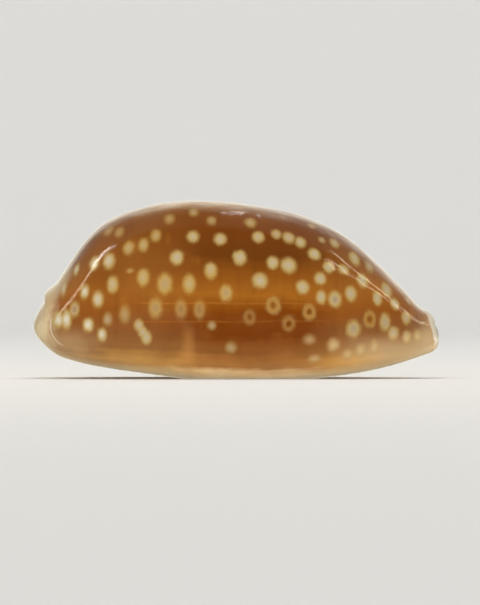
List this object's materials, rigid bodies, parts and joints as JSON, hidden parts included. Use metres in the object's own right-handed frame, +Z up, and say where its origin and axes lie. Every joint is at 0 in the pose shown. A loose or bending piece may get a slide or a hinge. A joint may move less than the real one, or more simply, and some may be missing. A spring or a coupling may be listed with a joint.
{
  "type": "cowrie shell",
  "caption": "Glossy egg-shaped sea shell with a domed back, a flatter base and a long toothed slit under it that opens through a notch at each end; a display piece that rests on its base.",
  "frame": {"origin": "under the middle of the shell, on the plane that its base rests on", "axes": "+X along the shell to the narrow anterior end, +Z up through the domed back, -Y to the side of the outer, labral lip"},
  "size_m": [0.0795, 0.0414, 0.0348],
  "materials": {
    "enamel": "gloss"
  },
  "bodies": {
    "root": {"cowrie_shell": "enamel"}
  },
  "joints": []
}
